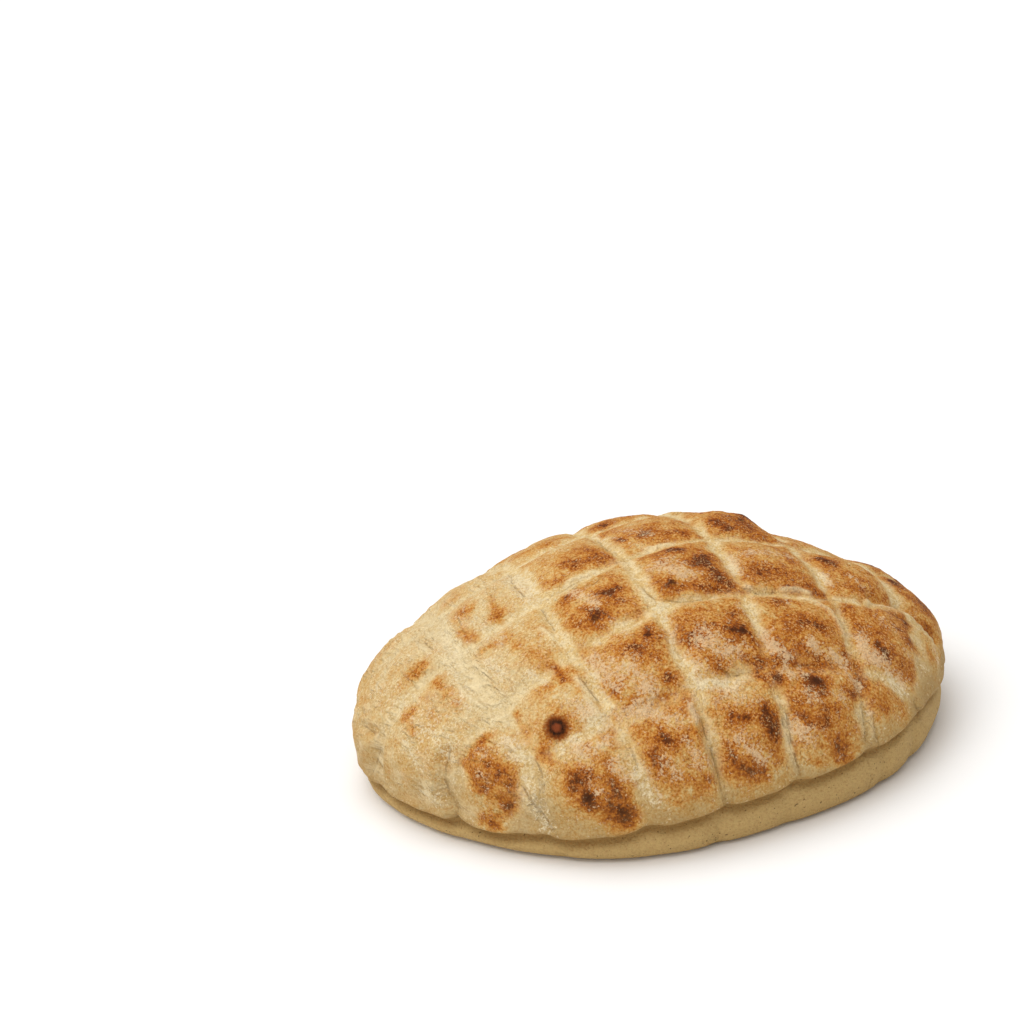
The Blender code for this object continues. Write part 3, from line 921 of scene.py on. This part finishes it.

# %% [markdown]
# The bottoms of the scores stay cream, the sides near the table are tan and carry painted shade, most at the
# front right and at the far left and right rims, the left keeps a film of flour, and flour lies in patches.
# Each gets a number of its own.

# %% Work out the pale scores, the tan sides with their painted shade, and the flour
LOW_SIDE_AT = math.radians(-50.0)
LOW_SIDE_TOP = 0.044
LOW_SIDE_FADE = 0.032
RIM_TAN_AND_SHADE = 0.30
RIM_TAN_AND_SHADE_FROM = 0.072
RIM_TAN_AND_SHADE_FADE = 0.018
FILM_FROM = -0.035
FILM_FADE = 0.030
FILM_LOWEST = 0.030
FILM_RISE = 0.020
FLOUR_BEHIND = 0.55

pale_score = (1.0 - pale_free) * scored * (1.0 - toast_here) ** 2
pale_score *= (1.0 - halo_mask) * (1.0 - ring_mask)
# The low sides get tan and painted shade together: darker near the table, most towards the front right, and
# at the far left and right rims.
tan_and_painted_shade = smooth_step((LOW_SIDE_TOP - z) / LOW_SIDE_FADE) * (0.70 + 0.30 * np.cos(angle - LOW_SIDE_AT))
tan_and_painted_shade = np.minimum(tan_and_painted_shade + RIM_TAN_AND_SHADE * smooth_step((np.abs(x) - RIM_TAN_AND_SHADE_FROM) / RIM_TAN_AND_SHADE_FADE), 1.0)
floury = smooth_step((FILM_FROM - along_x) / FILM_FADE) * smooth_step((z - FILM_LOWEST) / FILM_RISE)
flour_behind = smooth_step(1.2 * lumps(0.009, 72) - 0.1) * smooth_step(0.6 + lumps(0.0035, 76))
flour_here = shown * floured + (1.0 - shown) * FLOUR_BEHIND * flour_behind
print("points with flour:", int((flour_here > 0.5).sum()))

# %% [markdown]
# Fine wrinkles run across the pale skin at the left, and fine streaks down the front rim. They are finer
# than the mesh. So we keep each point's place across and along the wrinkles, in millimetres, and the
# material stretches a noise along them. One mask says where the wrinkles are, another where the streaks are.

# %% Lay out the fine wrinkles
LEFT_WRINKLE_ACROSS = Vector((0.55, 0.30, 0.80)).normalized()
LEFT_WRINKLE_ALONG = Vector((0.65, -0.70, -0.30)).normalized()
LEFT_SKIN_FROM = -0.030
STREAKS_FROM_Y = -0.052
STREAKS_FROM_X = -0.050
ABOVE_LIP_FADE = 0.006

above_lip = smooth_step((z - lip) / ABOVE_LIP_FADE)
left_skin = smooth_step((LEFT_SKIN_FROM - x) / 0.020) * above_lip
wrinkle_across = scored_form @ np.array(LEFT_WRINKLE_ACROSS)
wrinkle_along = scored_form @ np.array(LEFT_WRINKLE_ALONG)
wrinkled = left_skin * smooth_step(0.70 + 1.2 * lumps(0.007, 73))
streaked = smooth_step((STREAKS_FROM_Y - y) / 0.025) * smooth_step((x - STREAKS_FROM_X) / 0.020) * above_lip
print("points with fine wrinkles:", int((wrinkled > 0.3).sum()))

# %% Keep all these numbers on the points of the mesh
# The ridges' pale colour is partly the folds' own pale skin and partly a painted highlight along their
# crests.
RIDGE_PALENESS_AND_HIGHLIGHT = 0.85

kept = {
    "browning": browning,
    "burnt": burn_mask,
    "pale_score": pale_score,
    "ridge": RIDGE_PALENESS_AND_HIGHLIGHT * ridge,
    "band": in_band,
    "groove_shade": groove_painted_shade,
    "crease_away": crease_away / MILLIMETRE,
    "crease_here": crease_here,
    "ring": ring_mask,
    "heart": heart_mask,
    "tan_and_painted_shade": tan_and_painted_shade,
    "floury": floury,
    "flour": flour_here,
    "wrinkle_across": wrinkle_across / MILLIMETRE,
    "wrinkle_along": wrinkle_along / MILLIMETRE,
    "wrinkled": wrinkled,
    "streaked": streaked,
}
for name, values in kept.items():
    layer = pita_mesh.attributes.new(name, "FLOAT", "POINT")
    layer.data.foreach_set("value", np.asarray(values, dtype=np.float32))
print("numbers kept on each point:", len(kept))

# %% [markdown]
# ## The crust's material
#
# The slow browning is broken up by three sizes of noise, as the real skin browns bubble by bubble. The sum
# runs through a ramp of colours from cream to dark brown. Flour that stayed on the skin shows as whitish
# flecks, and bran as tiny dark specks in the band. All patterns are measured on the bread itself, so they
# stay on it from any side.

# %% Helpers for the material
def screen_colour(red, green, blue):
    """A colour as it reads on a screen, from 0 to 255, made linear for the renderer."""
    parts = []
    for part in (red, green, blue):
        part = part / 255.0
        parts.append(part / 12.92 if part <= 0.04045 else ((part + 0.055) / 1.055) ** 2.4)
    return (*parts, 1.0)


def join(tree, socket, value):
    """Gives a node's input a fixed value or a link."""
    if isinstance(value, bpy.types.NodeSocket):
        tree.links.new(value, socket)
    else:
        socket.default_value = value


def calculate(tree, operation, first, second=0.0, third=0.0):
    node = tree.nodes.new("ShaderNodeMath")
    node.operation = operation
    for socket, value in zip(node.inputs, (first, second, third)):
        join(tree, socket, value)
    return node.outputs[0]


def speckle(tree, places, size, detail=2.0, distortion=0.0):
    """Noise from 0 to 1 with spots of that size in metres."""
    node = tree.nodes.new("ShaderNodeTexNoise")
    join(tree, node.inputs["Vector"], places)
    node.inputs["Scale"].default_value = 1.0 / size
    node.inputs["Detail"].default_value = detail
    node.inputs["Distortion"].default_value = distortion
    return node.outputs["Fac"]


def between(tree, value, low, high):
    """0 below low, 1 above high, and a soft step between."""
    node = tree.nodes.new("ShaderNodeMapRange")
    node.interpolation_type = "SMOOTHSTEP"
    join(tree, node.inputs["Value"], value)
    node.inputs["From Min"].default_value = low
    node.inputs["From Max"].default_value = high
    return node.outputs["Result"]


def blend_colours(tree, factor, first, second):
    node = tree.nodes.new("ShaderNodeMix")
    node.data_type = "RGBA"
    join(tree, node.inputs["Factor"], factor)
    join(tree, node.inputs["A"], first)
    join(tree, node.inputs["B"], second)
    return node.outputs["Result"]


def from_mesh(tree, name):
    node = tree.nodes.new("ShaderNodeAttribute")
    node.attribute_name = name
    return node.outputs["Fac"]


def times(tree, first, second):
    return calculate(tree, "MULTIPLY", first, second)


def plus_share(tree, rest, value, share):
    """The rest plus a share of the value."""
    return calculate(tree, "MULTIPLY_ADD", value, share, rest)


def swayed(tree, rest, pattern, share):
    """The rest, moved up and down by a share of a pattern that runs from 0 to 1."""
    return plus_share(tree, rest, calculate(tree, "SUBTRACT", pattern, 0.5), share)


def tint(tree, colour, amount, shade):
    """The colour, moved towards a shade that is given as it reads on a screen."""
    return blend_colours(tree, amount, colour, screen_colour(*shade))


print("cream as the renderer takes it:", [round(part, 3) for part in screen_colour(226, 196, 143)])

# %% Mix the crust
CRUST_RAMP = (
    (0.00, (224, 205, 162)),
    (0.15, (218, 189, 132)),
    (0.30, (211, 166, 96)),
    (0.45, (201, 141, 66)),
    (0.60, (184, 113, 36)),
    (0.75, (162, 87, 18)),
    (0.88, (130, 62, 10)),
    (1.00, (88, 40, 8)),
)
SCORE_CREAM = (238, 217, 170)
SCORE_GOLD = (214, 178, 110)
FLOURY_CREAM = (214, 195, 152)
# Tan mixed with painted shade, for the low sides and the band.
TAN_AND_SHADE_COLOUR = (161, 127, 72)
FLOUR_ON_BROWN = (226, 195, 152)
FLOUR_ON_PALE = (236, 219, 180)
BAND = (210, 179, 120)
# Painted shade in the groove under the lip.
GROOVE_SHADE_COLOUR = (150, 112, 56)
BURNT = (48, 24, 8)
RING_HEART_COLOUR = (132, 64, 30)
RING_BROWN = (132, 66, 16)
# Painted shade along the creases and pleats.
CREASE_SHADE_COLOUR = (140, 104, 56)
BRAN = (84, 62, 36)
# Pale flecks of flour, and also the painted highlight on the wrinkles' crests.
PALE_FLECK_AND_HIGHLIGHT = (240, 220, 176)
LIGHT_SPECK_ON_BROWN = (222, 170, 108)
DARK_SPECK = (118, 66, 20)
DARK_SPECK_ON_PALE = (180, 141, 84)
BLOTCH_SIZE = 0.0060
BUBBLE_SIZE = 0.0020
GRAIN_SIZE = 0.00075
BLOTCH_SWING = 0.75
BUBBLE_SWING = 0.60
GRAIN_SWING = 0.66
LEAST_SWING = 0.42
SWING_WHERE_BROWN = 0.90

crust = bpy.data.materials.new("baked_crust")
crust.use_nodes = True
tree = crust.node_tree
shader = tree.nodes["Principled BSDF"]
shader.inputs["Roughness"].default_value = 0.72
shader.inputs["Specular IOR Level"].default_value = 0.12
places = tree.nodes.new("ShaderNodeTexCoord").outputs["Object"]

blotch = speckle(tree, places, BLOTCH_SIZE, 3.0, 0.3)
bubble = speckle(tree, places, BUBBLE_SIZE, 3.0, 0.6)
grain = speckle(tree, places, GRAIN_SIZE, 3.0)
brown = from_mesh(tree, "browning")
swing = swayed(tree, 0.0, blotch, BLOTCH_SWING)
swing = swayed(tree, swing, bubble, BUBBLE_SWING)
swing = swayed(tree, swing, grain, GRAIN_SWING)
how_uneven = plus_share(tree, LEAST_SWING, between(tree, brown, 0.05, 0.55), SWING_WHERE_BROWN)
toast = plus_share(tree, brown, swing, how_uneven)

ramp = tree.nodes.new("ShaderNodeValToRGB")
tree.links.new(toast, ramp.inputs["Fac"])
stops = ramp.color_ramp.elements
stops[0].position = CRUST_RAMP[0][0]
stops[0].color = screen_colour(*CRUST_RAMP[0][1])
stops[1].position = CRUST_RAMP[-1][0]
stops[1].color = screen_colour(*CRUST_RAMP[-1][1])
for position, colour in CRUST_RAMP[1:-1]:
    stops.new(position).color = screen_colour(*colour)
colour = ramp.outputs["Color"]
print("stops from cream to dark brown:", len(CRUST_RAMP))

# %% Pale the scores and the floury left, and tan the low sides with painted shade
SCORE_GOLD_AMOUNT = 0.75
CREAM_LEAST = 0.15
CREAM_IN_STREAKS = 0.70
FILM_AMOUNT = 0.6
TAN_AND_SHADE_AMOUNT = 0.75
TAN_AND_SHADE_WHERE_BROWN = 0.2

scores_here = from_mesh(tree, "pale_score")
colour = tint(tree, colour, times(tree, scores_here, SCORE_GOLD_AMOUNT), SCORE_GOLD)
cream_amount = plus_share(tree, CREAM_LEAST, between(tree, bubble, 0.44, 0.56), CREAM_IN_STREAKS)
colour = tint(tree, colour, times(tree, scores_here, cream_amount), SCORE_CREAM)
# Pale skin and painted highlight along the ridges.
colour = tint(tree, colour, from_mesh(tree, "ridge"), SCORE_CREAM)
unbrowned = between(tree, brown, 0.45, 0.10)
film = times(tree, from_mesh(tree, "floury"), unbrowned)
colour = tint(tree, colour, times(tree, film, FILM_AMOUNT), FLOURY_CREAM)
# Painted shade and tan on the low sides, weaker where the crust is already brown.
tan_and_painted_shade = times(tree, from_mesh(tree, "tan_and_painted_shade"), TAN_AND_SHADE_AMOUNT)
tan_and_painted_shade = times(tree, tan_and_painted_shade, plus_share(tree, TAN_AND_SHADE_WHERE_BROWN, unbrowned, 1.0 - TAN_AND_SHADE_WHERE_BROWN))
colour = tint(tree, colour, tan_and_painted_shade, TAN_AND_SHADE_COLOUR)
print("material nodes so far:", len(tree.nodes))

# %% Sprinkle flour and specks
FLOUR_GRAIN_SIZE = 0.00085
FLOUR_SHARE = 0.38
FLOUR_BUBBLES = 0.60
FLOUR_AMOUNT = 0.84
SPECK_SIZE = 0.00060
SPECK_PATCH_SIZE = 0.0045

flour = speckle(tree, places, FLOUR_GRAIN_SIZE, 3.0, 0.8)
flour = plus_share(tree, flour, from_mesh(tree, "flour"), FLOUR_SHARE)
flour = swayed(tree, flour, bubble, FLOUR_BUBBLES)
flour = times(tree, between(tree, flour, 0.60, 0.82), FLOUR_AMOUNT)
is_brown = between(tree, brown, 0.22, 0.45)
flour_white = tint(tree, screen_colour(*FLOUR_ON_PALE), is_brown, FLOUR_ON_BROWN)
colour = blend_colours(tree, flour, colour, flour_white)

speck = speckle(tree, places, SPECK_SIZE, 1.5, 0.6)
patchy = between(tree, speckle(tree, places, SPECK_PATCH_SIZE, 2.0, 0.5), 0.32, 0.62)
light_speck = times(tree, between(tree, speck, 0.54, 0.61), plus_share(tree, 0.18, patchy, 0.60))
light_speck = times(tree, light_speck, between(tree, from_mesh(tree, "burnt"), 0.6, 0.1))
light_speck = times(tree, light_speck, between(tree, from_mesh(tree, "tan_and_painted_shade"), 1.1, 0.1))
speck_white = tint(tree, screen_colour(*PALE_FLECK_AND_HIGHLIGHT), is_brown, LIGHT_SPECK_ON_BROWN)
colour = blend_colours(tree, light_speck, colour, speck_white)
dark_speck = times(tree, between(tree, speck, 0.43, 0.33), plus_share(tree, 0.20, patchy, 0.30))
speck_dark = tint(tree, screen_colour(*DARK_SPECK_ON_PALE), is_brown, DARK_SPECK)
colour = blend_colours(tree, dark_speck, colour, speck_dark)
print("material nodes so far:", len(tree.nodes))

# %% Add the band, its bran, and painted shade in the groove and the creases
BAND_AMOUNT = 0.9
BAND_TAN_AND_SHADE_AMOUNT = 0.30
GROOVE_SHADE_AMOUNT = 0.60
BRAN_SIZE = 0.0009
BRAN_ON_CRUST = 0.08
BRAN_ON_BAND = 0.7
CREASE_LINE_WIDTH = 0.45
CREASE_SHADE_AMOUNT = 0.5

band = from_mesh(tree, "band")
colour = tint(tree, colour, times(tree, band, BAND_AMOUNT), BAND)
# More painted shade and tan on the band where the low sides are shaded.
shaded_band = times(tree, from_mesh(tree, "tan_and_painted_shade"), band)
colour = tint(tree, colour, times(tree, shaded_band, BAND_TAN_AND_SHADE_AMOUNT), TAN_AND_SHADE_COLOUR)
# Painted shade in the groove under the lip.
colour = tint(tree, colour, times(tree, from_mesh(tree, "groove_shade"), GROOVE_SHADE_AMOUNT), GROOVE_SHADE_COLOUR)
bran_spots = between(tree, speckle(tree, places, BRAN_SIZE, 0.0), 0.76, 0.82)
bran_amount = times(tree, bran_spots, plus_share(tree, BRAN_ON_CRUST, band, BRAN_ON_BAND))
colour = tint(tree, colour, bran_amount, BRAN)

# A thin line of painted shade along each crease, pleat and score crease.
from_crease = calculate(tree, "ABSOLUTE", from_mesh(tree, "crease_away"))
crease = between(tree, from_crease, CREASE_LINE_WIDTH, 0.10)
crease = times(tree, crease, from_mesh(tree, "crease_here"))
crease = times(tree, crease, between(tree, bubble, 0.30, 0.55))
colour = tint(tree, colour, times(tree, crease, CREASE_SHADE_AMOUNT), CREASE_SHADE_COLOUR)
print("material nodes so far:", len(tree.nodes))

# %% Blacken the burns and the ring blister
BURN_GRAIN = 0.7
BURN_AMOUNT = 0.86

burnt = swayed(tree, from_mesh(tree, "burnt"), grain, BURN_GRAIN)
colour = tint(tree, colour, times(tree, between(tree, burnt, 0.38, 1.0), BURN_AMOUNT), BURNT)
ring = swayed(tree, from_mesh(tree, "ring"), grain, BURN_GRAIN)
colour = tint(tree, colour, between(tree, ring, -0.1, 0.6), RING_BROWN)
colour = tint(tree, colour, between(tree, ring, 0.45, 1.0), BURNT)
colour = tint(tree, colour, from_mesh(tree, "heart"), RING_HEART_COLOUR)
print("material nodes so far:", len(tree.nodes))

# %% [markdown]
# The left's fine wrinkles and the front's streaks are noise stretched along one direction. With the skin's
# crumple, flour and creases they make up a height, from which the material shades fine bumps. Anything
# deeper is already in the mesh. The wrinkles' crests are also painted lighter in colour: a painted
# highlight.

# %% Roughen the skin, and paint a highlight on the wrinkles' crests
BUMP_REACH = 0.0005
RIPPLE_PITCH = 1.9
RIPPLE_SHORTNESS = 0.34
RIPPLE_HIGHLIGHT = 0.56
STREAK_WIDTH = 0.0016
STREAK_LENGTH_SHARE = 0.16
CRUMPLE_SIZE = 0.0014

ripple_places = tree.nodes.new("ShaderNodeCombineXYZ")
tree.links.new(from_mesh(tree, "wrinkle_across"), ripple_places.inputs["X"])
short_along = times(tree, from_mesh(tree, "wrinkle_along"), RIPPLE_SHORTNESS)
tree.links.new(short_along, ripple_places.inputs["Y"])
ripple = speckle(tree, ripple_places.outputs["Vector"], RIPPLE_PITCH, 2.0, 0.4)
ripple = times(tree, between(tree, ripple, 0.33, 0.67), from_mesh(tree, "wrinkled"))
# The wrinkles' crests are painted lighter: a painted highlight.
colour = tint(tree, colour, times(tree, times(tree, ripple, unbrowned), RIPPLE_HIGHLIGHT), PALE_FLECK_AND_HIGHLIGHT)
tree.links.new(colour, shader.inputs["Base Color"])

streak_places = tree.nodes.new("ShaderNodeMapping")
streak_places.inputs["Scale"].default_value = (1.0, STREAK_LENGTH_SHARE, STREAK_LENGTH_SHARE)
tree.links.new(places, streak_places.inputs["Vector"])
streak = speckle(tree, streak_places.outputs["Vector"], STREAK_WIDTH, 2.0, 0.3)
streak = times(tree, between(tree, streak, 0.40, 0.62), from_mesh(tree, "streaked"))

crumple = speckle(tree, places, CRUMPLE_SIZE, 3.0, 1.2)
height = times(tree, grain, 0.5)
for pattern, share_of_bump in (
    (crumple, 1.2),
    (ripple, 1.5),
    (streak, 0.30),
    (crease, -0.6),
    (flour, 0.15),
    (light_speck, 0.20),
):
    height = plus_share(tree, height, pattern, share_of_bump)
bump = tree.nodes.new("ShaderNodeBump")
bump.inputs["Strength"].default_value = 1.0
bump.inputs["Distance"].default_value = BUMP_REACH
tree.links.new(height, bump.inputs["Height"])
tree.links.new(bump.outputs["Normal"], shader.inputs["Normal"])
pita_mesh.materials.append(crust)
print("material nodes:", len(tree.nodes))

# %% [markdown]
# ## Floor and light
#
# The bread lies on a plain pale floor. A very broad, even light falls from high at the left, a weak lamp
# fills the front, and the pale surroundings do the rest, so shadows are short and soft.

# %% Lay the floor and set the lights
FLOOR_SIDE = 12.0
FLOOR_COLOUR = (0.93, 0.93, 0.93, 1.0)
KEY_FROM = Vector((-0.28, 0.02, 1.00))
KEY_STRENGTH = 2.25
KEY_WIDTH = math.radians(70.0)
KEY_COLOUR = (1.0, 0.985, 0.96)
WHITE = (1.0, 1.0, 1.0)
FILL_PLACE = Vector((-2.2, -2.4, 1.4))
FILL_SIDE = 1.5
FILL_POWER = 14.0
SURROUNDINGS = 0.47

floor_mesh = bpy.data.meshes.new("floor")
floor_work = bmesh.new()
bmesh.ops.create_grid(floor_work, x_segments=1, y_segments=1, size=FLOOR_SIDE / 2.0)
floor_work.to_mesh(floor_mesh)
floor_work.free()
floor = bpy.data.objects.new("floor", floor_mesh)
bpy.context.scene.collection.objects.link(floor)
floor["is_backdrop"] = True

floor_paint = bpy.data.materials.new("floor_paint")
floor_paint.use_nodes = True
floor_shader = floor_paint.node_tree.nodes["Principled BSDF"]
floor_shader.inputs["Base Color"].default_value = FLOOR_COLOUR
floor_shader.inputs["Roughness"].default_value = 0.9
floor_shader.inputs["Specular IOR Level"].default_value = 0.1
floor_mesh.materials.append(floor_paint)


def hang_lamp(name, kind, place, strength, colour):
    """Hangs a lamp that looks at the bread, and returns its settings."""
    lamp = bpy.data.objects.new(name, bpy.data.lights.new(name, kind))
    lamp.data.energy = strength
    lamp.data.color = colour
    lamp.location = place
    lamp.rotation_euler = (-place).to_track_quat("-Z", "Y").to_euler()
    bpy.context.scene.collection.objects.link(lamp)
    return lamp.data


key = hang_lamp("key_lamp", "SUN", KEY_FROM, KEY_STRENGTH, KEY_COLOUR)
key.angle = KEY_WIDTH
fill = hang_lamp("fill_lamp", "AREA", FILL_PLACE, FILL_POWER, WHITE)
fill.shape = "SQUARE"
fill.size = FILL_SIDE
world = bpy.data.worlds.new("surroundings")
world.use_nodes = True
background = world.node_tree.nodes["Background"]
background.inputs["Color"].default_value = (*WHITE, 1.0)
background.inputs["Strength"].default_value = SURROUNDINGS
bpy.context.scene.world = world
bpy.context.scene.view_settings.view_transform = "Standard"

# %% Print the box of the finished bread
work.free()
own_low, own_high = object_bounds()
print("box of the finished bread in mm:", [round(1000 * side, 1) for side in own_high - own_low])
